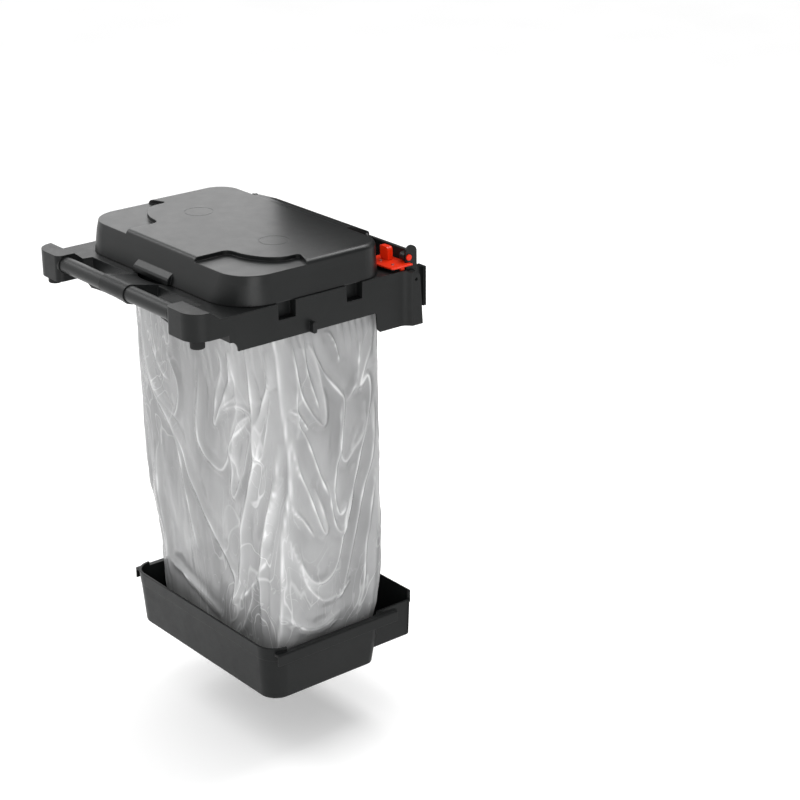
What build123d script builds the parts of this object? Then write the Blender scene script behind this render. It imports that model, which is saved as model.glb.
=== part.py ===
from build123d import *
import os

os.makedirs("parts", exist_ok=True)

# ---------------------------------------------------------------- datum
# X = 0 is the mid plane, -Y is the handle side, Z = 0 is the underside of the drip tray.

# posts the unit hangs on (not part of it)
post_x = 249.0
post_y = 262.0
post_r = 14.0

# deck
half_w = 276.0          # outside of the side walls
deck_z = 842.0          # top face
deck_front = -204.5
deck_rear = 210.0
wall = 4.0
side_bottom = 772.0
block_front = -283.0
block_in = 187.5
block_top = 858.5
block_bottom = 806.0
skirt_bottom = 732.0
pivot_y, pivot_z, pivot_r = 221.4, 825.5, 3.5

# bag opening in the deck
open_w, open_d, open_y, open_r = 456.0, 238.0, 26.0, 30.0

# handle bar
bar_y, bar_z, bar_r = -264.0, 839.0, 15.6
bar_half = 197.0
sleeve_r = 17.8
sleeve_half = 43.0

# corner buffers
peg_x, peg_y, peg_r, peg_bottom = 248.0, -256.0, 14.0, 787.5

# lid
lid_z0 = 842.4
lid_top = 907.6
lid_t = 3.0
hinge_y, hinge_z, hinge_r, pin_r = 212.0, 884.0, 7.0, 3.0
tongue_half = 150.0

# rear bracket
bracket_y = 232.0
bracket_top = 873.0
flange_in, flange_out = 257.0, 262.0
button_y, button_z, button_r = 225.4, 861.3, 6.0
button_bore = 7.6

# latch
cover_z = 848.5
cover_t = 3.0

# drip tray
tray_rim = 110.0
tray_front_top = 118.0
tray_step = 30.0

SIDES = (1, -1)

# ---------------------------------------------------------------- deck_frame
# ear: the flared rear end of the side wall, with the pivot hole
with BuildPart() as ear_solid:
    with BuildSketch(Plane.XY.offset(skirt_bottom)):
        with BuildLine():
            Polyline((272, 134), (276, 134), (276, 188))
            Spline((276, 188), (278.5, 201), (285, 208.5), (290, 214), tangents=((0, 1), (0.45, 1)))
            Polyline((290, 214), (290, 240), (272, 240), (272, 134))
        make_face()
    extrude(amount=deck_z - skirt_bottom)
    with BuildSketch(Plane.YZ):
        with BuildLine():
            Polyline((143, skirt_bottom), (137, skirt_bottom + 6), (134, side_bottom), (134, deck_z),
                     (207, deck_z), (210, deck_z - 2), (219, deck_z - 2.5))
            Spline((219, deck_z - 2.5), (228, deck_z - 6), (231.3, 829), tangents=((1, 0), (0.05, -1)))
            Polyline((231.3, 829), (237.8, skirt_bottom), (143, skirt_bottom))
        make_face()
    extrude(amount=300, mode=Mode.INTERSECT)
    with Locations(Location((280, pivot_y, pivot_z), (0, 90, 0))):
        Cylinder(pivot_r, 60, mode=Mode.SUBTRACT)

with BuildPart() as deck_frame:
    # corner blocks and the arms that carry them
    for s in SIDES:
        with BuildSketch(Plane.YZ.offset(min(s * block_in, s * half_w))):
            Polygon((deck_front + 6, block_bottom), (block_front, block_bottom), (block_front, block_top),
                    (-245, block_top), (-224, deck_z), (deck_front + 6, deck_z), align=None)
        extrude(amount=half_w - block_in)
    with BuildSketch(Plane.XY.offset(block_bottom - 5)):
        for s in SIDES:
            with BuildLine():
                Polyline((s * 191, deck_front + 6), (s * 188, deck_front), (s * 191.5, -224),
                         (s * block_in, -240), (s * block_in, block_front + 12))
                CenterArc((s * (block_in + 12), block_front + 12), 12, 180 if s > 0 else 270, 90)
                Line((s * (block_in + 12), block_front), (s * (half_w - 38), block_front))
                CenterArc((s * (half_w - 38), block_front + 38), 38, 270 if s > 0 else 180, 90)
                Polyline((s * half_w, block_front + 38), (s * half_w, deck_front + 6), (s * 191, deck_front + 6))
            make_face()
    extrude(amount=100, mode=Mode.INTERSECT)
    for s in SIDES:
        with BuildSketch(Plane.XY.offset(block_bottom - 1)):
            with BuildLine():
                Polyline((s * 195.5, -203), (s * 195.5, -279), (s * (half_w - 38), -279))
                CenterArc((s * (half_w - 38), -245), 34, 270 if s > 0 else 180, 90)
                Polyline((s * (half_w - 4), -245), (s * (half_w - 4), -203), (s * 195.5, -203))
            make_face()
        extrude(amount=33.0, mode=Mode.SUBTRACT)
        with BuildSketch(Plane.XY.offset(block_bottom)):
            with Locations((s * peg_x, peg_y)):
                Circle(9)
        extrude(amount=33.0)
        with BuildSketch(Plane.YZ.offset(min(s * block_in, s * 201.5))):
            with Locations((bar_y, bar_z)):
                Circle(sleeve_r)
        extrude(amount=14.0)

    # main tray of the deck: top plate and walls
    with BuildSketch(Plane.XY.offset(side_bottom)):
        with Locations((0, (deck_front + deck_rear) / 2)):
            Rectangle(2 * half_w, deck_rear - deck_front)
    extrude(amount=deck_z - side_bottom)
    with BuildSketch(Plane.XY.offset(side_bottom - 1)):
        with Locations((0, (deck_front + deck_rear) / 2)):
            RectangleRounded(2 * (half_w - wall), deck_rear - deck_front - 2 * wall, 6)
    extrude(amount=deck_z - side_bottom - wall + 1, mode=Mode.SUBTRACT)
    # the back is open below the top edge, so that the deck can fold down past the bracket
    with BuildSketch(Plane.XY.offset(side_bottom - 2)):
        with Locations((0, deck_rear - 1)):
            Rectangle(2 * (half_w - wall), 24)
    extrude(amount=832 - side_bottom, mode=Mode.SUBTRACT)
    # front lower corners of the side walls sweep up to the arms
    with BuildSketch(Plane.YZ.offset(-300)):
        with BuildLine():
            Line((deck_front - 1, side_bottom - 1), (-186, side_bottom - 1))
            Spline((-186, side_bottom - 1), (-189.5, side_bottom + 12), (deck_front - 1, side_bottom + 20),
                   tangents=((0, 1), (-1, 0)))
            Line((deck_front - 1, side_bottom + 20), (deck_front - 1, side_bottom - 1))
        make_face()
    extrude(amount=600, mode=Mode.SUBTRACT)
    # front skirt under the handle, with a gap in the middle
    for s in SIDES:
        with BuildSketch(Plane.XZ.offset(-deck_front - wall)):
            with BuildLine():
                Polyline((s * 44, 812), (s * 50, 780), (s * 70, 776))
                Spline((s * 70, 776), (s * 130, 779), (s * 200, 775.5))
                Polyline((s * 200, 775.5), (s * 214, 782), (s * 222, 812), (s * 44, 812))
            make_face()
        extrude(amount=wall)
    # rear wall and side walls are stiffened round the bag opening
    with BuildSketch(Plane.XY.offset(818)):
        with Locations((0, open_y)):
            RectangleRounded(open_w + 8, open_d + 8, open_r + 4)
    extrude(amount=deck_z - 818)
    for x in (-160, 0, 160):
        with BuildSketch(Plane.XY.offset(822)):
            with Locations((x, -144)):
                Rectangle(3, 113)
        extrude(amount=18)
    for s in SIDES:
        for y in (-20, 30, 120):
            with BuildSketch(Plane.XY.offset(822)):
                with Locations((s * 251.5, y)):
                    Rectangle(42, 3)
            extrude(amount=18)
    # pockets behind the notches in the side walls
    for s in SIDES:
        for y0, y1 in ((-95.0, -56.0), (63.5, 100.0)):
            with BuildSketch(Plane.XY.offset(806)):
                with Locations((s * 264.5, (y0 + y1) / 2)):
                    Rectangle(21, y1 - y0 + 6)
            extrude(amount=deck_z - 806)
    # web and sleeve that hold the middle of the handle
    with BuildSketch(Plane.YZ.offset(-sleeve_half)):
        with Locations((bar_y, bar_z)):
            Circle(sleeve_r)
        with Locations((deck_front + 2, 831)):
            Rectangle(6, 22)
        make_hull()
    extrude(amount=2 * sleeve_half)
    with BuildSketch(Plane.YZ.offset(-sleeve_half + 4)):
        Polygon((-243, 812), (-243, 838), (-210, 838), (-210, 812), align=None)
    extrude(amount=2 * sleeve_half - 8, mode=Mode.SUBTRACT)
    # finger scoop under the lid grip
    with BuildSketch(Plane.XY.offset(822)):
        with BuildLine():
            ThreePointArc((-57, -183), (0, -209), (57, -183))
            Line((57, -183), (-57, -183))
        make_face()
    extrude(amount=deck_z - 822)
    # rear skirts and ears
    add(ear_solid.part)
    add(ear_solid.part.mirror(Plane.YZ))
    # cuts
    with BuildSketch(Plane.XY.offset(800)):
        with Locations((0, open_y)):
            RectangleRounded(open_w, open_d, open_r)
    extrude(amount=60, mode=Mode.SUBTRACT)
    for s in SIDES:
        for y0, y1 in ((-95.0, -56.0), (63.5, 100.0)):
            with BuildSketch(Plane.XY.offset(810)):
                with Locations((s * 268, (y0 + y1) / 2)):
                    Rectangle(20, y1 - y0)
            extrude(amount=40, taper=-1.5, mode=Mode.SUBTRACT)
    with BuildSketch(Plane.YZ.offset(-bar_half - 0.5)):
        with Locations((bar_y, bar_z)):
            Circle(bar_r + 0.05)
    extrude(amount=2 * bar_half + 1, mode=Mode.SUBTRACT)
    with BuildSketch(Plane.XY.offset(825)):
        with BuildLine():
            ThreePointArc((-54, -186), (0, -206), (54, -186))
            Line((54, -186), (-54, -186))
        make_face()
    extrude(amount=30, mode=Mode.SUBTRACT)
    # buffer screw holes
    for s in SIDES:
        with Locations((s * peg_x, peg_y, block_bottom + 8)):
            Cylinder(2.1, 30, mode=Mode.SUBTRACT)
    # side lugs
    for s in SIDES:
        with BuildSketch(Plane.YZ.offset(min(s * half_w, s * (half_w + 12)))):
            with Locations((-21, 782)):
                RectangleRounded(9, 22, 3)
        extrude(amount=12)
deck_frame.part.label = "deck_frame"

# ---------------------------------------------------------------- handle_bar
with BuildPart() as handle_bar:
    with Locations(Location((0, bar_y, bar_z), (0, 90, 0))):
        Cylinder(bar_r, 2 * bar_half)
        Cylinder(bar_r - 2.5, 2 * bar_half + 2, mode=Mode.SUBTRACT)
handle_bar.part.label = "handle_bar"

# ---------------------------------------------------------------- corner buffers and their screws
with BuildPart() as corner_buffers:
    for s in SIDES:
        with BuildSketch(Plane.XY.offset(peg_bottom)):
            with Locations((s * peg_x, peg_y)):
                Circle(peg_r)
        extrude(amount=block_bottom - peg_bottom - 0.02)
    fillet(corner_buffers.edges().filter_by(GeomType.CIRCLE).group_by(Axis.Z)[0], 2.5)
    for s in SIDES:
        with Locations((s * peg_x, peg_y, peg_bottom)):
            Cylinder(4.6, 10, mode=Mode.SUBTRACT)
        with Locations((s * peg_x, peg_y, peg_bottom + 10)):
            Cylinder(2.1, 30, mode=Mode.SUBTRACT)
corner_buffers.part.label = "corner_buffers"

with BuildPart() as buffer_screws:
    for s in SIDES:
        with BuildSketch(Plane.XY.offset(peg_bottom + 2.2)):
            with Locations((s * peg_x, peg_y)):
                Circle(4.2)
                RegularPolygon(1.6, 6, mode=Mode.SUBTRACT)
        extrude(amount=2.75)
        with BuildSketch(Plane.XY.offset(peg_bottom + 4.0)):
            with Locations((s * peg_x, peg_y)):
                Circle(2.0)
        extrude(amount=28)
buffer_screws.part.label = "buffer_screws"

# ---------------------------------------------------------------- bag_ring: presses the bag's turned-over edge on the deck
with BuildPart() as bag_ring:
    with BuildSketch(Plane.XY.offset(deck_z + 1.8)):
        with Locations((0, open_y)):
            RectangleRounded(open_w + 34, open_d + 34, open_r + 17)
            RectangleRounded(open_w - 6, open_d - 6, open_r - 3, mode=Mode.SUBTRACT)
    extrude(amount=4.6)
    with BuildSketch(Plane.XY.offset(deck_z - 14)):
        with Locations((0, open_y)):
            RectangleRounded(open_w - 6, open_d - 6, open_r - 3)
            RectangleRounded(open_w - 12, open_d - 12, open_r - 6, mode=Mode.SUBTRACT)
    extrude(amount=15.4 + 5.0)
    fillet(bag_ring.edges().group_by(Axis.Z)[-1], 1.0)
    for s in SIDES:
        with Locations((s * 150, open_y - open_d / 2 - 8, deck_z + 6.4)):
            Box(40, 6, 3, align=(Align.CENTER, Align.CENTER, Align.MIN))
bag_ring.part.label = "bag_ring"

# ---------------------------------------------------------------- waste_bag: thin film body, cuffed over the opening
bag_rows = (
    # z, half width, y front, y rear, corner radius
    (deck_z - 26, 227.2, -92.2, 144.2, 27),
    (790, 245, -96, 166, 32),
    (730, 254, -90, 172, 36),
    (600, 258, -83, 172, 40),
    (450, 255, -81, 175, 42),
    (320, 249, -80, 179, 42),
    (210, 239, -77, 183, 42),
    (120, 228, -75, 181, 40),
)
bag_low = (
    (120, 228, -75, 181, 40),
    (70, 222, -73, 166, 38),
    (30, 212, -69, 138, 36),
    (6, 194, -54, 122, 30),
)
with BuildPart() as waste_bag:
    for rows, t in ((bag_rows, 0.0), (bag_low, 0.0)):
        for z, hw, y0, y1, r in rows:
            with BuildSketch(Plane.XY.offset(z)):
                with Locations((0, (y0 + y1) / 2)):
                    RectangleRounded(2 * hw, y1 - y0, r)
        loft(ruled=True)
    for rows in (bag_rows, bag_low):
        for z, hw, y0, y1, r in rows:
            with BuildSketch(Plane.XY.offset(z + (1.2 if z == 6 else 0))):
                with Locations((0, (y0 + y1) / 2)):
                    RectangleRounded(2 * hw - 2.4, y1 - y0 - 2.4, r - 1.2)
        loft(ruled=True, mode=Mode.SUBTRACT)
    # neck through the collar and the edge turned over the deck
    with BuildSketch(Plane.XY.offset(deck_z - 26)):
        with Locations((0, open_y)):
            RectangleRounded(open_w - 0.8, open_d - 0.8, open_r - 0.4)
            RectangleRounded(open_w - 4.4, open_d - 4.4, open_r - 2.2, mode=Mode.SUBTRACT)
    extrude(amount=26 + 1.5)
    with BuildSketch(Plane.XY.offset(deck_z + 0.3)):
        with Locations((0, open_y)):
            RectangleRounded(open_w + 28, open_d + 28, open_r + 14)
            RectangleRounded(open_w - 4.4, open_d - 4.4, open_r - 2.2, mode=Mode.SUBTRACT)
    extrude(amount=1.2)
waste_bag.part.label = "waste_bag"

# ---------------------------------------------------------------- back_bracket
with BuildPart() as back_bracket:
    with BuildSketch(Plane.XY.offset(740)):
        with Locations((0, bracket_y + 2.5)):
            Rectangle(2 * flange_out, 5)
    extrude(amount=bracket_top - 740)
    fillet(back_bracket.edges().filter_by(Axis.X).group_by(Axis.Z)[-1].sort_by(Axis.Y)[0], 2.0)
    for x in (-190, -95, 0, 95, 190):
        with BuildSketch(Plane.XY.offset(746)):
            with Locations((x, bracket_y + 8)):
                Rectangle(3, 8)
        extrude(amount=bracket_top - 752)
    for z in (752, 836):
        with BuildSketch(Plane.XY.offset(z)):
            with Locations((0, bracket_y + 8)):
                Rectangle(420, 8)
        extrude(amount=3)
    for s in SIDES:
        # upright flange
        with BuildSketch(Plane.YZ.offset(min(s * flange_in, s * flange_out))):
            with BuildLine():
                if s > 0:
                    Polyline((219, 740), (219, 870.5))
                    ThreePointArc((219, 870.5), (232.5, 884), (246, 870.5))
                    Polyline((246, 870.5), (246, 740), (219, 740))
                else:
                    Polyline((219, 740), (219, 869), (222, 872), (243, 872), (246, 869), (246, 740), (219, 740))
            make_face()
        extrude(amount=flange_out - flange_in)
        # button housing
        with BuildSketch(Plane.YZ.offset(min(s * 244.0, s * flange_in))):
            with Locations((button_y, button_z)):
                Circle(8.8)
        extrude(amount=flange_in - 244.0)
        # pivot boss
        with BuildSketch(Plane.YZ.offset(min(s * 238.0, s * 270.5))):
            with Locations((pivot_y, pivot_z)):
                Circle(8.0)
            with Locations((236, pivot_z)):
                Rectangle(2, 20)
            make_hull()
        extrude(amount=32.5)
        # pocket walls for the post saddle
        with BuildSketch(Plane.XY.offset(744)):
            with Locations((s * 222, bracket_y + 11)):
                Rectangle(3, 14)
        extrude(amount=88)
    for s in SIDES:
        with Locations(Location((s * 250, button_y, button_z), (0, 90, 0))):
            Cylinder(button_bore, 13.9, mode=Mode.SUBTRACT)
        with Locations(Location((s * 260, button_y, button_z), (0, 90, 0))):
            Cylinder(button_r + 0.05, 20, mode=Mode.SUBTRACT)
        with Locations(Location((s * 255, pivot_y, pivot_z), (0, 90, 0))):
            Cylinder(pivot_r, 60, mode=Mode.SUBTRACT)
        for z in (768, 800):
            with Locations(Location((s * 240, bracket_y, z), (90, 0, 0))):
                Cylinder(2.6, 40, mode=Mode.SUBTRACT)
back_bracket.part.label = "back_bracket"

# ---------------------------------------------------------------- post saddles: half sockets that seat on the cart's posts
def saddle(s):
    with BuildPart() as sad:
        with BuildSketch(Plane.XY.offset(748)):
            with Locations((s * 240.3, 260.1)):
                Rectangle(32.6, 45.8)
            with Locations((s * post_x, post_y)):
                Circle(post_r, mode=Mode.SUBTRACT)
            # open towards the outer rear so the post can enter
            Polygon((s * post_x, post_y), (s * 300, 235), (s * 300, 320), (s * 240, 320), align=None,
                    mode=Mode.SUBTRACT)
        extrude(amount=80)
        for z in (768, 800):
            with Locations(Location((s * 240, 240, z), (90, 0, 0))):
                Cylinder(2.6, 12, mode=Mode.SUBTRACT)
        for z in (768, 808):
            with Locations(Location((s * 230, post_y, z), (0, 90, 0))):
                Cylinder(4.0, 20, mode=Mode.SUBTRACT)
    return sad.part


post_saddle_right = saddle(1)
post_saddle_right.label = "post_saddle_right"
post_saddle_left = saddle(-1)
post_saddle_left.label = "post_saddle_left"

with BuildPart() as saddle_screws:
    for s in SIDES:
        for z in (768, 800):
            with BuildSketch(Plane.XZ.offset(-231.95)):
                with Locations((s * 240, z)):
                    Circle(5.0)
                    RegularPolygon(2.2, 6, mode=Mode.SUBTRACT)
            extrude(amount=3.0)
            with BuildSketch(Plane.XZ.offset(-231.0)):
                with Locations((s * 240, z)):
                    Circle(2.5)
            extrude(amount=-13.5)
saddle_screws.part.label = "saddle_screws"

with BuildPart() as clamp_screws:
    for s in SIDES:
        for z in (768, 808):
            with BuildSketch(Plane.YZ.offset(min(s * 208.0, s * 213.5))):
                with Locations((post_y, z)):
                    RegularPolygon(7.5, 6)
            extrude(amount=5.5)
            with BuildSketch(Plane.YZ.offset(min(s * 213.0, s * 234.9))):
                with Locations((post_y, z)):
                    Circle(3.95)
            extrude(amount=21.9)
clamp_screws.part.label = "clamp_screws"

# ---------------------------------------------------------------- pivot_bolts through ears and bracket
with BuildPart() as pivot_bolts:
    for s in SIDES:
        with BuildSketch(Plane.YZ.offset(min(s * 232.0, s * 283.0))):
            with Locations((pivot_y, pivot_z)):
                Circle(pivot_r - 0.05)
        extrude(amount=51.0)
        with BuildSketch(Plane.YZ.offset(min(s * 232.0, s * 237.8))):
            with Locations((pivot_y, pivot_z)):
                RegularPolygon(6.4, 6)
        extrude(amount=5.8)
pivot_bolts.part.label = "pivot_bolts"

# ---------------------------------------------------------------- lid hinge: brackets on the deck, pin
with BuildPart() as hinge_brackets:
    for x in (-100, 100):
        with BuildSketch(Plane.YZ.offset(x - 9)):
            with Locations((hinge_y, hinge_z)):
                Circle(hinge_r)
            with Locations((198, deck_z + 2)):
                Rectangle(20, 3.9)
            make_hull()
        extrude(amount=18)
        with BuildSketch(Plane.XY.offset(deck_z + 0.05)):
            with Locations((x, 198)):
                RectangleRounded(52, 20, 3)
        extrude(amount=3.9)
        with Locations(Location((x, hinge_y, hinge_z), (0, 90, 0))):
            Cylinder(pin_r, 30, mode=Mode.SUBTRACT)
        for dx in (-18, 18):
            with Locations((x + dx, 198, deck_z + 2)):
                Cylinder(2.2, 8, mode=Mode.SUBTRACT)
hinge_brackets.part.label = "hinge_brackets"

with BuildPart() as hinge_screws:
    for x in (-118, -82, 82, 118):
        with BuildSketch(Plane.XY.offset(deck_z + 4.0)):
            with Locations((x, 198)):
                Circle(4.0)
                RegularPolygon(1.5, 6, mode=Mode.SUBTRACT)
        extrude(amount=2.4)
        with BuildSketch(Plane.XY.offset(deck_z + 0.1)):
            with Locations((x, 198)):
                Circle(2.1)
        extrude(amount=4.5)
hinge_screws.part.label = "hinge_screws"

with BuildPart() as lid_hinge_pin:
    with Locations(Location((0, hinge_y, hinge_z), (0, 90, 0))):
        Cylinder(pin_r - 0.02, 2 * tongue_half + 4)
lid_hinge_pin.part.label = "lid_hinge_pin"

# ---------------------------------------------------------------- lid_shell


def lid_section(z, half, y0, y1, rf, rr):
    with BuildSketch(Plane.XY.offset(z)) as sk:
        with Locations((0, (y0 + y1) / 2)):
            Rectangle(2 * half, y1 - y0)
        vs = sk.vertices().sort_by(Axis.Y)
        fillet(vs[:2], rf)
        fillet(sk.vertices().sort_by(Axis.Y)[-2:], rr)
    return sk.sketch


with BuildPart() as lid_void:
    loft((lid_section(lid_z0 - 1, 269, -184, 167, 87, 53), lid_section(882, 264, -170, 165.5, 66, 51)))
    loft((lid_section(882, 264, -170, 165.5, 66, 51), lid_section(lid_top - 12, 258.5, -161, 163, 60, 49)))
    for x0, x1, y0, y1, r in ((-252, 252, -2, 146, 24), (-108, 108, -140, -8, 16)):
        with BuildSketch(Plane.XY.offset(lid_top - 20)):
            with Locations(((x0 + x1) / 2, (y0 + y1) / 2)):
                RectangleRounded(x1 - x0, y1 - y0, r)
        extrude(amount=20 - lid_t)

with BuildPart() as lid_shell:
    loft((lid_section(lid_z0, 272, -187, 170, 90, 56), lid_section(882, 267.5, -174, 169, 69, 55)))
    loft((lid_section(882, 267.5, -174, 169, 69, 55), lid_section(lid_top, 265, -166.5, 168, 65, 50)))
    fillet(lid_shell.edges().group_by(Axis.Z)[-1], 10.0)
    # rear tongue down to the hinge barrel
    with BuildSketch(Plane.YZ.offset(-tongue_half)):
        Polygon((150, lid_top - 0.3), (172, lid_top - 0.6), (214, 890.8), (205, 884), (170, 893), (150, 893),
                align=None)
    extrude(amount=2 * tongue_half)
    with Locations(Location((0, hinge_y, hinge_z), (0, 90, 0))):
        Cylinder(hinge_r, 2 * tongue_half)
    for x in (-100, 100):
        with BuildSketch(Plane.YZ.offset(x - 9.5)):
            Polygon((203.0, 870), (203.0, 880), (201.5, 899), (222, 899), (222, 870), align=None)
        extrude(amount=19, mode=Mode.SUBTRACT)
    with Locations(Location((0, hinge_y, hinge_z), (0, 90, 0))):
        Cylinder(pin_r + 0.05, 2 * tongue_half + 2, mode=Mode.SUBTRACT)
    # front grip
    with BuildSketch(Plane.YZ.offset(-59)):
        Polygon((-160, 866.5), (-178.5, 865.5), (-190.5, 856.5), (-193, 852), (-193, 843.2), (-160, 843.2), align=None)
    extrude(amount=118)
    # lowered corners for the thumbs
    for s in SIDES:
        with BuildSketch(Plane.XY.offset(lid_top - 8.2)):
            with BuildLine():
                Line((s * 117, -230), (s * 117, -106))
                Spline((s * 117, -106), (s * 124, -94), (s * 145, -89.5), (s * 167, -84), (s * 190, -73),
                       (s * 207, -60), (s * 218, -45), (s * 222.5, -26))
                Line((s * 222.5, -26), (s * 222.5, -16))
                ThreePointArc((s * 222.5, -16), (s * 225.2, -8.9), (s * 232, -7.6))
                Polyline((s * 232, -7.6), (s * 300, -34), (s * 300, -230), (s * 117, -230))
            make_face()
        extrude(amount=20, mode=Mode.SUBTRACT)
    # hollow underneath
    add(lid_void.part, mode=Mode.SUBTRACT)
    # faint round marks in the top
    for s in SIDES:
        with BuildSketch(Plane.XY.offset(lid_top - 0.35)):
            with Locations((s * 126, 7)):
                Circle(29.0)
                Circle(28.0, mode=Mode.SUBTRACT)
        extrude(amount=2, mode=Mode.SUBTRACT)
lid_shell.part.label = "lid_shell"

# ---------------------------------------------------------------- latches on the rear corners of the deck


def latch_base(s):
    with BuildPart() as b:
        with BuildSketch(Plane.XY.offset(deck_z + 0.05)):
            with Locations((s * 228, 195.0)):
                Rectangle(76, 28)
            with Locations((s * 235, 203.0)):
                Rectangle(76, 8.6, mode=Mode.SUBTRACT)
        extrude(amount=cover_z - deck_z - 0.1)
        for x, y in ((219, 192), (255, 192)):
            with Locations((s * x, y, 845)):
                Cylinder(1.5, 20, mode=Mode.SUBTRACT)
    return b.part


def latch_cover(s):
    with BuildPart() as c:
        with BuildSketch(Plane.XY.offset(cover_z)):
            Polygon((s * 188, 172), (s * 241, 173), (s * 270, 176.5), (s * 274, 181), (s * 274, 226),
                    (s * 263.2, 226), (s * 263.2, 217.6), (s * 256.0, 217.6), (s * 256.0, 226), (s * 188, 226),
                    align=None)
            with Locations((s * 215.0, 204.5)):
                Rectangle(16.0, 5.6, mode=Mode.SUBTRACT)
            with Locations((s * 219, 192), (s * 255, 192)):
                Circle(1.6, mode=Mode.SUBTRACT)
        extrude(amount=cover_t)
        chamfer(c.edges().group_by(Axis.Z)[-1].filter_by(GeomType.LINE), 0.5)
    return c.part


def latch_slider(s):
    with BuildPart() as p:
        with BuildSketch(Plane.XY.offset(deck_z + 0.5)):
            with Locations((s * 244.0, 203.0)):
                Rectangle(56.0, 8.0)
        extrude(amount=cover_z - deck_z - 0.9)
        with BuildSketch(Plane.XY.offset(deck_z + 3)):
            with Locations((s * 219.0, 204.5)):
                Rectangle(6.0, 5.0)
        extrude(amount=12)
        with BuildSketch(Plane.XZ.offset(-202.0)) as thumb:
            with Locations((s * 216, (cover_z + cover_t + 0.5 + 877.5) / 2)):
                Rectangle(24, 877.5 - cover_z - cover_t - 0.5)
            fillet(thumb.vertices().sort_by(Axis.Z)[-2:], 7.0)
        extrude(amount=-12.0)
    return p.part


def lock_button(s):
    with BuildPart() as p:
        with BuildSketch(Plane.YZ.offset(min(s * 254.8, s * 256.8))):
            with Locations((button_y, button_z)):
                Circle(button_bore - 0.1)
        extrude(amount=2.0)
        with BuildSketch(Plane.YZ.offset(min(s * 254.8, s * 265.2))):
            with Locations((button_y, button_z)):
                Circle(button_r)
        extrude(amount=10.4)
        fillet(p.edges().filter_by(GeomType.CIRCLE).sort_by(Axis.X)[-1 if s > 0 else 0], 1.0)
    return p.part


latch_base_right = latch_base(1)
latch_base_right.label = "latch_base_right"
latch_base_left = latch_base(-1)
latch_base_left.label = "latch_base_left"
latch_cover_right = latch_cover(1)
latch_cover_right.label = "latch_cover_right"
latch_cover_left = latch_cover(-1)
latch_cover_left.label = "latch_cover_left"
latch_slider_right = latch_slider(1)
latch_slider_right.label = "latch_slider_right"
latch_slider_left = latch_slider(-1)
latch_slider_left.label = "latch_slider_left"
lock_button_right = lock_button(1)
lock_button_right.label = "lock_button_right"
lock_button_left = lock_button(-1)
lock_button_left.label = "lock_button_left"

with BuildPart() as button_caps:
    for s in SIDES:
        with BuildSketch(Plane.YZ.offset(min(s * 243.9, s * 245.4))):
            with Locations((button_y, button_z)):
                Circle(button_bore)
        extrude(amount=1.5)
button_caps.part.label = "button_caps"

with BuildPart() as latch_screws:
    for s in SIDES:
        for x in (219, 255):
            with BuildSketch(Plane.XY.offset(cover_z + cover_t + 0.02)):
                with Locations((s * x, 192)):
                    Circle(2.9)
                    RegularPolygon(1.2, 6, mode=Mode.SUBTRACT)
            extrude(amount=1.4)
            with BuildSketch(Plane.XY.offset(deck_z + 0.2)):
                with Locations((s * x, 192)):
                    Circle(1.45)
            extrude(amount=cover_z + cover_t - deck_z - 0.1)
latch_screws.part.label = "latch_screws"


def coil(x0, length, y, z, r, wire, pitch):
    with BuildPart() as c:
        with BuildLine() as path:
            Helix(pitch=pitch, height=length, radius=r, center=(x0, y, z), direction=(1, 0, 0))
        with BuildSketch(Plane(origin=path.wires()[0] @ 0, z_dir=path.wires()[0] % 0)):
            Circle(wire)
        sweep(is_frenet=True)
    return c.part


slider_spring_right = coil(198.0, 17.0, 203.0, deck_z + 3.4, 2.2, 0.35, 2.4)
slider_spring_right.label = "slider_spring_right"
slider_spring_left = coil(-215.0, 17.0, 203.0, deck_z + 3.4, 2.2, 0.35, 2.4)
slider_spring_left.label = "slider_spring_left"
button_spring_right = coil(246.2, 8.0, button_y, button_z, 5.2, 0.45, 2.2)
button_spring_right.label = "button_spring_right"
button_spring_left = coil(-254.2, 8.0, button_y, button_z, 5.2, 0.45, 2.2)
button_spring_left.label = "button_spring_left"

# ---------------------------------------------------------------- drip_tray


def rounded(z, x, y0, y1, rf, rb):
    with BuildSketch(Plane.XY.offset(z)) as sk:
        with Locations((0, (y0 + y1) / 2)):
            Rectangle(2 * x, y1 - y0)
        fillet(sk.vertices().sort_by(Axis.Y)[:2], rf)
        fillet(sk.vertices().sort_by(Axis.Y)[-2:], rb)
    return sk.sketch


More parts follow.
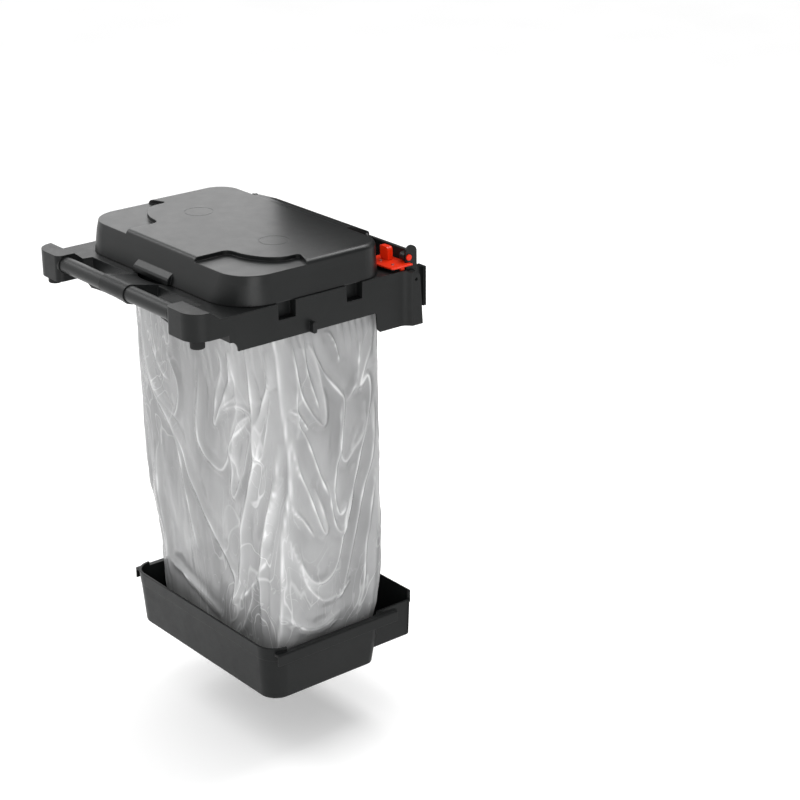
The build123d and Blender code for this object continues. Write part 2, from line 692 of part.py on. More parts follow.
with BuildPart() as drip_tray:
    loft((rounded(0, 241, -113, 148, 38, 20), rounded(tray_rim, 249, -121, 168, 42, 24)))
    fillet(drip_tray.edges().group_by(Axis.Z)[0], 5.0)
    loft((rounded(tray_step, 234, 60, 250, 8, 14), rounded(tray_rim, 236, 60, 252, 8, 14)))
    # raised front and rear walls
    loft((rounded(tray_rim - 20, 247.9, -119.8, -60, 41, 2), rounded(tray_front_top, 250.1, -122.4, -60, 42.5, 2)))
    with BuildSketch(Plane.XY.offset(tray_front_top + 1)):
        with Locations((0, -65)):
            Rectangle(520, 30)
    extrude(amount=-9.0, mode=Mode.SUBTRACT)
    with BuildSketch(Plane.XY.offset(tray_rim - 10)):
        with Locations((0, 248)):
            Rectangle(2 * 230, 7)
    extrude(amount=27.0)
    # side rims with their turned-down lips
    for s in SIDES:
        with BuildSketch(Plane.XZ.offset(107)):
            Polygon((s * 245, tray_rim), (s * 256.5, tray_rim), (s * 258, tray_rim - 3), (s * 258, tray_rim - 24),
                    (s * 255, tray_rim - 24), (s * 255, tray_rim - 5), (s * 245, tray_rim - 5), align=None)
        extrude(amount=-302)
    # hollow
    loft((rounded(4, 237, -109.5, 144, 35, 17), rounded(tray_rim + 20, 246.2, -118.6, 165, 39, 21)),
         mode=Mode.SUBTRACT)
    loft((rounded(tray_step + 4, 230, 62, 246, 8, 11), rounded(tray_rim + 20, 232.5, 62, 248.5, 8, 11)),
         mode=Mode.SUBTRACT)
drip_tray.part.label = "drip_tray"

# ---------------------------------------------------------------- export
export_step(deck_frame.part, "parts/deck_frame.step")
export_step(handle_bar.part, "parts/handle_bar.step")
export_step(corner_buffers.part, "parts/corner_buffers.step")
export_step(buffer_screws.part, "parts/buffer_screws.step")
export_step(bag_ring.part, "parts/bag_ring.step")
export_step(waste_bag.part, "parts/waste_bag.step")
export_step(back_bracket.part, "parts/back_bracket.step")
export_step(post_saddle_right, "parts/post_saddle_right.step")
export_step(post_saddle_left, "parts/post_saddle_left.step")
export_step(saddle_screws.part, "parts/saddle_screws.step")
export_step(clamp_screws.part, "parts/clamp_screws.step")
export_step(pivot_bolts.part, "parts/pivot_bolts.step")
export_step(hinge_brackets.part, "parts/hinge_brackets.step")
export_step(hinge_screws.part, "parts/hinge_screws.step")
export_step(lid_hinge_pin.part, "parts/lid_hinge_pin.step")
export_step(lid_shell.part, "parts/lid_shell.step")
export_step(latch_base_right, "parts/latch_base_right.step")
export_step(latch_base_left, "parts/latch_base_left.step")
export_step(latch_cover_right, "parts/latch_cover_right.step")
export_step(latch_cover_left, "parts/latch_cover_left.step")
export_step(latch_slider_right, "parts/latch_slider_right.step")
export_step(latch_slider_left, "parts/latch_slider_left.step")
export_step(lock_button_right, "parts/lock_button_right.step")
export_step(lock_button_left, "parts/lock_button_left.step")
export_step(button_caps.part, "parts/button_caps.step")
export_step(latch_screws.part, "parts/latch_screws.step")
export_step(slider_spring_right, "parts/slider_spring_right.step")
export_step(slider_spring_left, "parts/slider_spring_left.step")
export_step(button_spring_right, "parts/button_spring_right.step")
export_step(button_spring_left, "parts/button_spring_left.step")
export_step(drip_tray.part, "parts/drip_tray.step")
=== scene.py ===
import math

import bpy
import numpy as np
from mathutils import Matrix, Vector, noise


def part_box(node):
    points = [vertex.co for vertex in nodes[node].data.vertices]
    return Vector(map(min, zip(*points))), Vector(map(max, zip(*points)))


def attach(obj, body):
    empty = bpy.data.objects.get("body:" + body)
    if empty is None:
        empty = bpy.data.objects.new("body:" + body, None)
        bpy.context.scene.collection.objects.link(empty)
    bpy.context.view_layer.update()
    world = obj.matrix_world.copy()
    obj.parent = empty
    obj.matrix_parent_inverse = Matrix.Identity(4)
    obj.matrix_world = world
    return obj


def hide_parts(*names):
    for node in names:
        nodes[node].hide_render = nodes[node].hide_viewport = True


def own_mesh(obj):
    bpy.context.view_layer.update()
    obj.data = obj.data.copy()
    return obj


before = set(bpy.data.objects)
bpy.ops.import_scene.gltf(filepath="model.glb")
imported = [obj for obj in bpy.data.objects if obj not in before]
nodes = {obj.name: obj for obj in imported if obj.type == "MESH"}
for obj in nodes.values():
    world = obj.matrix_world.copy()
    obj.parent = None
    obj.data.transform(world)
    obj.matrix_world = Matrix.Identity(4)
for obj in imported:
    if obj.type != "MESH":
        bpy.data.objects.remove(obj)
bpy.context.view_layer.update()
scene = bpy.context.scene


# ------------------------------------------------------------------ materials
def new_material(name):
    mat = bpy.data.materials.new(name)
    mat.use_nodes = True
    nt = mat.node_tree
    nt.nodes.clear()
    out = nt.nodes.new("ShaderNodeOutputMaterial")
    bsdf = nt.nodes.new("ShaderNodeBsdfPrincipled")
    nt.links.new(bsdf.outputs[0], out.inputs[0])
    return mat, nt, bsdf


def coords(nt, scale=(1, 1, 1)):
    tc = nt.nodes.new("ShaderNodeTexCoord")
    mp = nt.nodes.new("ShaderNodeMapping")
    mp.inputs["Scale"].default_value = scale
    nt.links.new(tc.outputs["Object"], mp.inputs["Vector"])
    return mp.outputs[0]


def noise_tex(nt, vec, scale, detail=3.0, rough=0.5, distortion=0.0):
    n = nt.nodes.new("ShaderNodeTexNoise")
    n.inputs["Scale"].default_value = scale
    n.inputs["Detail"].default_value = detail
    n.inputs["Roughness"].default_value = rough
    n.inputs["Distortion"].default_value = distortion
    nt.links.new(vec, n.inputs["Vector"])
    return n.outputs["Fac"]


def remap(nt, fac, lo, hi, a=0.3, b=0.7):
    m = nt.nodes.new("ShaderNodeMapRange")
    m.inputs["From Min"].default_value = a
    m.inputs["From Max"].default_value = b
    m.inputs["To Min"].default_value = lo
    m.inputs["To Max"].default_value = hi
    nt.links.new(fac, m.inputs["Value"])
    return m.outputs[0]


def ramp(nt, fac, stops):
    r = nt.nodes.new("ShaderNodeValToRGB")
    els = r.color_ramp.elements
    while len(els) > 1:
        els.remove(els[-1])
    els[0].position, els[0].color = stops[0][0], (*stops[0][1], 1)
    for p, c in stops[1:]:
        e = els.new(p)
        e.color = (*c, 1)
    nt.links.new(fac, r.inputs["Fac"])
    return r.outputs["Color"]


def maths(nt, op, a, b=None):
    m = nt.nodes.new("ShaderNodeMath")
    m.operation = op
    for i, v in enumerate((a, b)):
        if v is None:
            continue
        if isinstance(v, (int, float)):
            m.inputs[i].default_value = v
        else:
            nt.links.new(v, m.inputs[i])
    return m.outputs[0]


def moulded(name, dark, light, rough, level, grain=0.10, grain_scale=1500.0, edge=0.0012, stretch=(1, 1, 1)):
    """Injection moulded plastic: faint tone and gloss variation, fine spark-eroded grain, softened edges."""
    mat, nt, bsdf = new_material(name)
    vec = coords(nt, stretch)
    tone = noise_tex(nt, vec, 7.0, 4.0, 0.6)
    nt.links.new(ramp(nt, tone, [(0.35, dark), (0.65, light)]), bsdf.inputs["Base Color"])
    gloss = noise_tex(nt, vec, 38.0, 5.0, 0.62)
    nt.links.new(remap(nt, gloss, rough[0], rough[1]), bsdf.inputs["Roughness"])
    fine = noise_tex(nt, vec, grain_scale, 2.0, 0.5)
    broad = noise_tex(nt, vec, 16.0, 2.0, 0.4)
    both = maths(nt, "ADD", fine, maths(nt, "MULTIPLY", broad, 1.6))
    bump = nt.nodes.new("ShaderNodeBump")
    bump.inputs["Strength"].default_value = grain
    bump.inputs["Distance"].default_value = 0.0006
    nt.links.new(both, bump.inputs["Height"])
    if edge:
        bev = nt.nodes.new("ShaderNodeBevel")
        bev.samples = 6
        bev.inputs["Radius"].default_value = edge
        nt.links.new(bev.outputs[0], bump.inputs["Normal"])
    nt.links.new(bump.outputs[0], bsdf.inputs["Normal"])
    bsdf.inputs["Specular IOR Level"].default_value = level
    return mat


def metal(name, colour, rough):
    mat, nt, bsdf = new_material(name)
    vec = coords(nt, (1, 1, 6))
    tone = noise_tex(nt, vec, 220.0, 4.0, 0.6)
    c2 = tuple(c * 1.18 for c in colour)
    nt.links.new(ramp(nt, tone, [(0.3, colour), (0.7, c2)]), bsdf.inputs["Base Color"])
    nt.links.new(remap(nt, tone, rough, rough + 0.14), bsdf.inputs["Roughness"])
    bsdf.inputs["Metallic"].default_value = 1.0
    bump = nt.nodes.new("ShaderNodeBump")
    bump.inputs["Strength"].default_value = 0.12
    bump.inputs["Distance"].default_value = 0.0003
    nt.links.new(noise_tex(nt, vec, 900.0, 2.0), bump.inputs["Height"])
    nt.links.new(bump.outputs[0], bsdf.inputs["Normal"])
    return mat


DECK = moulded("deck plastic", (0.0070, 0.0078, 0.0078), (0.0095, 0.0104, 0.0104), (0.36, 0.44), 0.22, edge=0.0018)
LID = moulded("lid plastic", (0.0060, 0.0068, 0.0068), (0.0080, 0.0089, 0.0089), (0.34, 0.38), 0.32, grain=0.05, edge=0.0028)
TRAY = moulded("tray plastic", (0.0060, 0.0068, 0.0068), (0.0082, 0.0090, 0.0090), (0.36, 0.44), 0.18, edge=0.0022)
BAR = moulded("handle tube", (0.0120, 0.0130, 0.0130), (0.0150, 0.0160, 0.0160), (0.36, 0.44), 0.26,
              grain=0.05, grain_scale=900.0, edge=0.0, stretch=(0.15, 1, 1))
RED = moulded("orange-red plastic", (0.70, 0.022, 0.002), (0.82, 0.030, 0.004), (0.28, 0.38), 0.26, grain=0.05, edge=0.0006)
RUBBER = moulded("buffer rubber", (0.0080, 0.0085, 0.0085), (0.0125, 0.0130, 0.0130), (0.62, 0.80), 0.25, grain=0.25, grain_scale=1100.0,
                 edge=0.0010)
STEEL = metal("zinc plated steel", (0.50, 0.51, 0.52), 0.26)
SPRING = metal("spring steel", (0.38, 0.38, 0.39), 0.22)

ROLE = {
    "lid_shell": LID, "drip_tray": TRAY, "handle_bar": BAR, "corner_buffers": RUBBER,
    "latch_cover_right": RED, "latch_cover_left": RED, "latch_slider_right": RED, "latch_slider_left": RED,
    "lock_button_right": RED, "lock_button_left": RED,
    "saddle_screws": STEEL, "clamp_screws": STEEL, "pivot_bolts": STEEL, "buffer_screws": STEEL,
    "hinge_screws": STEEL, "lid_hinge_pin": STEEL, "latch_screws": STEEL,
    "slider_spring_right": SPRING, "slider_spring_left": SPRING,
    "button_spring_right": SPRING, "button_spring_left": SPRING,
}
for name, obj in nodes.items():
    mat = ROLE.get(name, DECK)
    if obj.data.materials:
        for i in range(len(obj.data.materials)):
            obj.data.materials[i] = mat
    else:
        obj.data.materials.append(mat)

# ------------------------------------------------------------------ bag film material
FILM, nt, bsdf = new_material("bag film")
vec = coords(nt, (1.0, 1.0, 0.42))
# the crest attribute holds painted highlights along the fold crests, and partly the extra layers of film where it
# folds
crest_layers_and_highlight = nt.nodes.new("ShaderNodeAttribute")
crest_layers_and_highlight.attribute_name = "crest_layers_and_highlight"
# the shade attribute is painted shade and painted light beside each fold: one side lighter, the other darker
shade = nt.nodes.new("ShaderNodeAttribute")
shade.attribute_name = "shade"
flow = noise_tex(nt, vec, 7.5, 2.0, 0.42, 1.3)
flow2 = noise_tex(nt, vec, 15.0, 2.0, 0.45, 2.0)


def contour(fac, level, width):
    d = maths(nt, "ABSOLUTE", maths(nt, "SUBTRACT", fac, level))
    m = nt.nodes.new("ShaderNodeMapRange")
    m.interpolation_type = "SMOOTHSTEP"
    m.inputs["From Min"].default_value = 0.0
    m.inputs["From Max"].default_value = width
    m.inputs["To Min"].default_value = 1.0
    m.inputs["To Max"].default_value = 0.0
    nt.links.new(d, m.inputs["Value"])
    return m.outputs[0]


# painted highlight streaks: thin curved light lines along contours of the flow noise, which also add to the bump
highlight_streaks = maths(nt, "MAXIMUM", contour(flow, 0.47, 0.010), maths(nt, "MULTIPLY", contour(flow, 0.57, 0.014), 0.7))
highlight_streaks = maths(nt, "MAXIMUM", highlight_streaks, maths(nt, "MULTIPLY", contour(flow2, 0.52, 0.012), 0.55))
patchy = remap(nt, noise_tex(nt, vec, 5.0, 3.0, 0.5), 0.0, 1.0, 0.40, 0.62)
highlight_streaks = maths(nt, "MULTIPLY", highlight_streaks, patchy)
# painted highlight: crest lines and streaks lighten the film's colour towards white, and the same amount makes it
# more opaque, as doubled film would
line = maths(nt, "MINIMUM", maths(nt, "ADD", maths(nt, "MULTIPLY", crest_layers_and_highlight.outputs["Fac"], 0.90), maths(nt, "MULTIPLY", highlight_streaks, 0.60)), 1.0)
body_tone = remap(nt, noise_tex(nt, vec, 4.0, 4.0, 0.55, 0.6), 0.0, 1.0, 0.33, 0.67)
body = maths(nt, "ADD", maths(nt, "MULTIPLY", body_tone, 0.34), maths(nt, "MULTIPLY", line, 0.62))
# painted shade and painted light from the fold sides shift the film's tone
body = maths(nt, "ADD", body, maths(nt, "MULTIPLY", shade.outputs["Fac"], 0.16))
body = maths(nt, "MAXIMUM", maths(nt, "MINIMUM", body, 1.0), 0.0)
col = ramp(nt, body, [(0.0, (0.27, 0.272, 0.274)), (0.36, (0.49, 0.493, 0.496)), (1.0, (0.94, 0.943, 0.946))])
nt.links.new(col, bsdf.inputs["Base Color"])
nt.links.new(remap(nt, line, 0.86, 0.985, 0.0, 1.0), bsdf.inputs["Alpha"])
nt.links.new(remap(nt, noise_tex(nt, vec, 40.0, 3.0), 0.12, 0.22), bsdf.inputs["Roughness"])
bsdf.inputs["Specular IOR Level"].default_value = 0.55
bump = nt.nodes.new("ShaderNodeBump")
bump.inputs["Strength"].default_value = 0.55
bump.inputs["Distance"].default_value = 0.0030
height = maths(nt, "ADD", maths(nt, "MULTIPLY", flow, 3.0), maths(nt, "MULTIPLY", highlight_streaks, 0.55))
height = maths(nt, "ADD", height, maths(nt, "MULTIPLY", noise_tex(nt, vec, 55.0, 4.0, 0.55, 0.8), 0.5))
nt.links.new(height, bump.inputs["Height"])
nt.links.new(bump.outputs[0], bsdf.inputs["Normal"])

# ------------------------------------------------------------------ bag: a hanging film with folds
# each fold is a path over one face (across, height) in metres, with its rise and half width in mm
FRONT = [
    ([(-0.214, 0.661), (-0.199, 0.578), (-0.159, 0.517), (-0.118, 0.497), (-0.095, 0.536), (-0.098, 0.586), (-0.133, 0.633)], 4, 6),
    ([(-0.182, 0.673), (-0.174, 0.622), (-0.15, 0.582), (-0.124, 0.571)], 3, 5),
    ([(-0.209, 0.583), (-0.155, 0.496), (-0.098, 0.441), (-0.045, 0.355), (0.009, 0.277), (0.043, 0.249)], 5, 7),
    ([(-0.143, 0.489), (-0.119, 0.456), (-0.091, 0.376), (-0.068, 0.295), (-0.053, 0.213)], 4, 6),
    ([(-0.015, 0.663), (-0.012, 0.597), (-0.024, 0.501), (-0.008, 0.455), (0.043, 0.432), (0.065, 0.451), (0.097, 0.518), (0.159, 0.578)], 6, 7),
    ([(0.056, 0.7), (0.072, 0.657), (0.045, 0.586), (0.034, 0.526), (0.064, 0.571), (0.111, 0.606)], 4, 5),
    ([(0.093, 0.697), (0.097, 0.643), (0.067, 0.586), (0.036, 0.525)], 4, 5),
    ([(0.157, 0.729), (0.162, 0.649), (0.165, 0.588), (0.167, 0.498), (0.12, 0.347), (0.103, 0.245), (0.073, 0.144), (0.056, 0.091)], 7, 7),
    ([(0.163, 0.584), (0.108, 0.548), (0.093, 0.495), (0.076, 0.404), (0.087, 0.385), (0.119, 0.44), (0.149, 0.535)], 4, 5),
    ([(0.227, 0.735), (0.225, 0.667), (0.178, 0.578), (0.166, 0.526), (0.181, 0.495), (0.207, 0.56), (0.229, 0.648)], 5, 5),
    ([(0.238, 0.549), (0.226, 0.457), (0.199, 0.361), (0.174, 0.265), (0.159, 0.103)], 6, 6),
    ([(0.236, 0.479), (0.212, 0.394), (0.188, 0.314)], 4, 5),
    ([(0.009, 0.277), (0.075, 0.201), (0.06, 0.123)], 4, 6),
    ([(-0.173, 0.149), (-0.129, 0.142), (-0.051, 0.118), (0.022, 0.092)], 5, 7),
    ([(0.083, 0.152), (0.157, 0.232), (0.205, 0.306)], 4, 6),
    ([(0.084, 0.08), (0.124, 0.153), (0.144, 0.217)], 4, 6),
    ([(-0.193, 0.418), (-0.196, 0.311), (-0.183, 0.208), (-0.179, 0.107)], 4, 8),
    ([(0.095, 0.698), (0.111, 0.599), (0.08, 0.505), (0.111, 0.416)], 3, 9),
    ([(0.064, 0.564), (0.104, 0.585), (0.134, 0.586), (0.163, 0.584)], 3, 4),
]
SIDE = [
    ([(-0.051, 0.751), (-0.049, 0.701), (-0.029, 0.629), (0.001, 0.578), (0.018, 0.574), (0.017, 0.63), (-0.001, 0.702), (-0.017, 0.74)], 5, 5),
    ([(-0.032, 0.753), (-0.015, 0.672), (0.009, 0.595)], 4, 5),
    ([(0.031, 0.755), (0.048, 0.724), (0.058, 0.685)], 4, 4),
    ([(-0.014, 0.739), (0.015, 0.678), (0.052, 0.628), (0.064, 0.604), (0.059, 0.536), (0.041, 0.457), (0.043, 0.399)], 6, 6),
    ([(-0.062, 0.603), (-0.032, 0.561), (0.002, 0.468), (0.026, 0.413)], 6, 5),
    ([(-0.063, 0.569), (-0.048, 0.496), (-0.024, 0.433), (0.012, 0.343), (0.021, 0.348), (0.012, 0.38), (-0.009, 0.443)], 5, 5),
    ([(-0.062, 0.514), (-0.057, 0.415), (-0.036, 0.379), (-0.008, 0.334)], 5, 5),
    ([(0.15, 0.727), (0.109, 0.631), (0.127, 0.642), (0.128, 0.588), (0.098, 0.469), (0.071, 0.362), (0.045, 0.254), (0.001, 0.231), (-0.039, 0.281), (-0.07, 0.369)], 7, 7),
    ([(0.145, 0.583), (0.135, 0.48), (0.113, 0.408), (0.095, 0.312), (0.069, 0.194), (0.05, 0.178)], 5, 6),
    ([(0.147, 0.441), (0.134, 0.373), (0.123, 0.266), (0.126, 0.153)], 5, 6),
    ([(0.059, 0.606), (0.054, 0.524), (0.069, 0.477), (0.107, 0.523), (0.124, 0.568)], 4, 6),
    ([(0.023, 0.448), (0.036, 0.373), (0.053, 0.33), (0.074, 0.346), (0.09, 0.414)], 5, 5),
    ([(0.037, 0.43), (0.048, 0.384), (0.058, 0.366), (0.074, 0.39)], 4, 4),
    ([(-0.066, 0.173), (-0.018, 0.127), (0.032, 0.121), (0.068, 0.146)], 5, 7),
    ([(0.058, 0.175), (0.084, 0.204), (0.063, 0.189)], 3, 5),
    ([(-0.048, 0.734), (-0.045, 0.619), (-0.045, 0.551)], 4, 5),
    ([(0.11, 0.716), (0.101, 0.643), (0.076, 0.601)], 4, 6),
    ([(-0.06, 0.616), (-0.037, 0.595), (-0.02, 0.565)], 5, 4),
    ([(-0.046, 0.312), (-0.027, 0.241), (0.016, 0.186), (0.058, 0.183)], 4, 7),
]

ROWS = (
    # z, half width, y front, y rear, corner radius (metres)
    (0.8160, 0.2272, -0.0922, 0.1442, 0.027),
    (0.800, 0.2385, -0.0940, 0.1560, 0.030),
    (0.790, 0.2440, -0.0950, 0.1650, 0.031),
    (0.730, 0.2530, -0.0890, 0.1710, 0.034),
    (0.600, 0.2570, -0.0820, 0.1715, 0.036),
    (0.450, 0.2540, -0.0800, 0.1745, 0.038),
    (0.320, 0.2480, -0.0790, 0.1785, 0.038),
    (0.210, 0.2380, -0.0760, 0.1825, 0.038),
    (0.120, 0.2270, -0.0740, 0.1805, 0.036),
    (0.070, 0.2210, -0.0720, 0.1655, 0.035),
    (0.030, 0.2110, -0.0680, 0.1380, 0.033),
    (0.0085, 0.1940, -0.0540, 0.1220, 0.030),
)
FLANGE = ((0.8427, 0.2415, -0.1065, 0.1585, 0.043), (0.8431, 0.2290, -0.0940, 0.1460, 0.031), (0.8400, 0.2272, -0.0922, 0.1442, 0.029))
LOW_Z = 0.0085


def section(z, hw, y0, y1, r, counts):
    """Points and outward directions round a rounded rectangle, from the front left corner's end towards +X."""
    nf, ns, nb, nl, nc = counts
    pts, nor = [], []

    def line(a, b, n, d):
        for i in range(n):
            t = i / n
            pts.append((a[0] + (b[0] - a[0]) * t, a[1] + (b[1] - a[1]) * t))
            nor.append(d)

    def arc(cx, cy, a0):
        for i in range(nc):
            a = math.radians(a0 + 90.0 * i / nc)
            pts.append((cx + r * math.cos(a), cy + r * math.sin(a)))
            nor.append((math.cos(a), math.sin(a)))

    line((-hw + r, y0), (hw - r, y0), nf, (0, -1))
    arc(hw - r, y0 + r, -90)
    line((hw, y0 + r), (hw, y1 - r), ns, (1, 0))
    arc(hw - r, y1 - r, 0)
    line((hw - r, y1), (-hw + r, y1), nb, (0, 1))
    arc(-hw + r, y1 - r, 90)
    line((-hw, y1 - r), (-hw, y0 + r), nl, (-1, 0))
    arc(-hw + r, y0 + r, 180)
    return np.array(pts), np.array(nor, float)


def smooth_path(pts, n=7):
    p = np.array([pts[0]] + list(pts) + [pts[-1]], float)
    out = []
    for i in range(1, len(p) - 2):
        a, b, c, d = p[i - 1], p[i], p[i + 1], p[i + 2]
        for k in range(n):
            t = k / n
            out.append(0.5 * (2 * b + (c - a) * t + (2 * a - 5 * b + 4 * c - d) * t * t + (3 * b - a - 3 * c + d) * t ** 3))
    out.append(p[-2])
    return np.array(out)


def path_distance(q, path):
    """Signed distance from each point to a path, and how far along the path it is, 0 to 1."""
    best = np.full(len(q), 1e9)
    along = np.zeros(len(q))
    side = np.zeros(len(q))
    seg = np.linalg.norm(np.diff(path, axis=0), axis=1)
    cum = np.concatenate([[0], np.cumsum(seg)])
    total = cum[-1]
    for i in range(len(path) - 1):
        if seg[i] < 1e-9:
            continue
        a, d = path[i], (path[i + 1] - path[i]) / seg[i]
        rel = q - a
        t = np.clip(rel @ d, 0, seg[i])
        off = rel - t[:, None] * d
        dist = np.hypot(off[:, 0], off[:, 1])
        m = dist < best
        best[m] = dist[m]
        along[m] = (cum[i] + t[m]) / total
        side[m] = np.sign(d[0] * rel[m, 1] - d[1] * rel[m, 0])
    return best, along, side


def folds(q, paths, lift, crest_layers_and_highlight, shade, weight, mirror=False):
    for k, (pts, rise, width) in enumerate(paths):
        p = smooth_path(pts)
        if mirror:
            p = p * np.array([-1, 1])
        lo, hi = p.min(0) - 0.035, p.max(0) + 0.035
        m = (q[:, 0] > lo[0]) & (q[:, 0] < hi[0]) & (q[:, 1] > lo[1]) & (q[:, 1] < hi[1]) & (weight > 0.01)
        if not m.any():
            continue
        d, s, side = path_distance(q[m], p)
        d = d * 1000.0
        ends = np.clip(np.minimum(s, 1 - s) / 0.16, 0, 1) ** 0.7
        # a crease is steep on one side and falls away slowly on the other
        w = np.where(side > 0, width * 1.0, width * 2.0)
        ridge = rise * np.exp(-((d / w) ** 2)) - 0.35 * rise * np.exp(-(((d - 2.4 * width) / (1.5 * width)) ** 2))
        lift[m] += ridge * ends * weight[m]
        vary = 0.62 + 0.38 * np.sin(s * (9.0 + 3.0 * (k % 4)) + k * 1.7) * np.sin(s * 4.1 + k)
        fine = 0.5 + 0.5 * np.sin(s * (23.0 + 5.0 * (k % 3)) + 2.3 * k)
        # painted highlight along the crease (core), with a softer painted glow beside it (halo)
        core = np.exp(-((d / (1.1 + 1.5 * fine * vary)) ** 2)) * (0.35 + 0.65 * fine)
        halo = 0.42 * np.exp(-np.abs(d) / (0.9 * width)) * vary
        line = (core * vary * (0.55 + 0.07 * rise) + halo) * ends * weight[m]
        crest_layers_and_highlight[m] = 1 - (1 - crest_layers_and_highlight[m]) * (1 - np.clip(line, 0, 1))
        # painted shade and painted light: lighter on one side of the crease, darker on the other
        shade[m] += np.where(side > 0, 1.0, -1.0) * np.exp(-d / 13.0) * (1 - np.exp(-((d / 2.0) ** 2))) * ends * weight[m] * (0.35 + 0.1 * rise)


counts = ((190, 104, 100, 60, 12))
n_rows = 330
rows = np.array(ROWS)
zs = np.linspace(rows[0, 0], rows[-1, 0], n_rows)
table = np.array([np.interp(zs, rows[::-1, 0], rows[::-1, k]) for k in range(1, 5)])
kernel = np.hanning(15)
kernel /= kernel.sum()
for k in range(4):
    padded = np.concatenate([np.full(7, table[k, 0]), table[k], np.full(7, table[k, -1])])
    smooth = np.convolve(padded, kernel, "valid")
    blend = np.clip(np.minimum(np.arange(n_rows), np.arange(n_rows)[::-1]) / 6.0, 0, 1)
    table[k] = table[k] * (1 - blend) + smooth * blend
levels = list(FLANGE) + [(z, *table[:, i]) for i, z in enumerate(zs)]
P, N, Z = [], [], []
for z, hw, y0, y1, r in levels:
    p, n = section(z, hw, y0, y1, r, counts)
    P.append(p)
    N.append(n)
    Z.append(np.full(len(p), z))
per = len(P[0])
P, N, Z = np.array(P), np.array(N), np.array(Z)
xy = P.reshape(-1, 2)
nn = N.reshape(-1, 2)
zz = Z.reshape(-1)
lift = np.zeros(len(zz))
crest_layers_and_highlight = np.zeros(len(zz))
shade = np.zeros(len(zz))
ws = lambda v: np.clip((v - 0.25) / 0.5, 0, 1)
w_front, w_right, w_rear, w_left = ws(-nn[:, 1]), ws(nn[:, 0]), ws(nn[:, 1]), ws(-nn[:, 0])
folds(np.c_[xy[:, 0], zz], FRONT, lift, crest_layers_and_highlight, shade, w_front)
folds(np.c_[xy[:, 1], zz], SIDE, lift, crest_layers_and_highlight, shade, w_right)
folds(np.c_[xy[:, 0], zz], FRONT, lift, crest_layers_and_highlight, shade, w_rear, mirror=True)
folds(np.c_[xy[:, 1] * -1 + 0.086, zz], SIDE, lift, crest_layers_and_highlight, shade, w_left)
# one long pleat runs down each corner, wandering a little
for k, (cx, cy) in enumerate(((1, -1), (1, 1), (-1, 1), (-1, -1))):
    a0 = math.radians(45) + 0.20 * np.sin(zz * 9.0 + k) + 0.10 * np.sin(zz * 23.0 + 2 * k)
    ang = np.arctan2(nn[:, 1] * cy, nn[:, 0] * cx)
    on = (nn[:, 0] * cx > 1e-6) & (nn[:, 1] * cy > 1e-6)
    d = np.where(on, (ang - a0) * 37.0, 1e3)
    fine = 0.5 + 0.5 * np.sin(zz * 61.0 + 3 * k) * np.sin(zz * 17.0)
    lift += np.where(on, 4.5 * np.exp(-((d / 5.5) ** 2)) - 2.0 * np.exp(-(((d - 11.0) / 6.0) ** 2)), 0)
    # a painted highlight runs along each corner pleat
    line = np.where(on, (0.30 + 0.55 * fine) * np.exp(-((d / (1.2 + 1.3 * fine)) ** 2)) + 0.22 * np.exp(-np.abs(d) / 5.0), 0)
    crest_layers_and_highlight = 1 - (1 - crest_layers_and_highlight) * (1 - np.clip(line, 0, 1))
    # painted shade and painted light on the two sides of each corner pleat
    shade += np.where(on, np.sign(d) * -0.6 * np.exp(-np.abs(d) / 12.0) * (1 - np.exp(-((d / 2.0) ** 2))), 0)
# slow billows, longer up and down than across
for i in range(len(zz)):
    x, y, z = xy[i, 0], xy[i, 1], zz[i]
    a = noise.noise(Vector((x * 9.0 + 3.1, y * 9.0, z * 3.0)))
    b = noise.noise(Vector((x * 22.0, y * 22.0 + 7.7, z * 6.5 + a * 1.5)))
    c = noise.noise(Vector((x * 55.0 + 1.7, y * 55.0, z * 14.0 + b * 2.0)))
    lift[i] += 5.5 * a + 3.2 * b + 1.3 * c
# gathered neck: many small pleats that die out below the deck
around = np.tile(np.arange(per) / per, len(levels))
pleat = np.sin(around * 2 * math.pi * 46 + 2.2 * np.sin(around * 2 * math.pi * 7)) * np.exp(-((0.80 - zz).clip(0) / 0.10) ** 2)
lift += 1.6 * pleat
# quiet at the neck, and inside the tray at the bottom
fade = np.clip((0.806 - zz) / 0.055, 0, 1) * np.clip((zz - LOW_Z) / 0.03, 0.15, 1)
lift = lift * fade
low = zz < 0.14
limit_out = np.where(low, 4.0, 9.0)
lift = np.clip(lift, -11.0, limit_out)
crest_layers_and_highlight *= np.clip((0.806 - zz) / 0.02, 0, 1)
pos = np.c_[xy + nn * lift[:, None] / 1000.0, zz]
# keep the film inside the box of the plain solid it stands for
lo_b, hi_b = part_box("waste_bag")
pos[:, 0] = np.clip(pos[:, 0], lo_b[0] - 0.004, hi_b[0] + 0.004)
pos[:, 1] = np.clip(pos[:, 1], lo_b[1] - 0.002, hi_b[1] + 0.002)
faces = []
for r in range(len(levels) - 1):
    for i in range(per):
        j = (i + 1) % per
        faces.append((r * per + i, (r + 1) * per + i, (r + 1) * per + j, r * per + j))
base = (len(levels) - 1) * per
centre = pos[base:].mean(0)
rings = 5
verts = [tuple(p) for p in pos]
prev = list(range(base, base + per))
for k in range(1, rings + 1):
    t = k / (rings + 1)
    row = []
    for i in range(per):
        p = pos[base + i] * (1 - t) + centre * t
        row.append(len(verts))
        verts.append((p[0], p[1], LOW_Z - 0.0022 * math.sin(min(t * 3, 1) * math.pi / 2)))
    for i in range(per):
        j = (i + 1) % per
        faces.append((prev[i], row[i], row[j], prev[j]))
    prev = row
verts.append((centre[0], centre[1], LOW_Z - 0.0022))
for i in range(per):
    faces.append((prev[i], len(verts) - 1, prev[(i + 1) % per]))
mesh = bpy.data.meshes.new("bag_film")
mesh.from_pydata(verts, [], faces)
mesh.update()
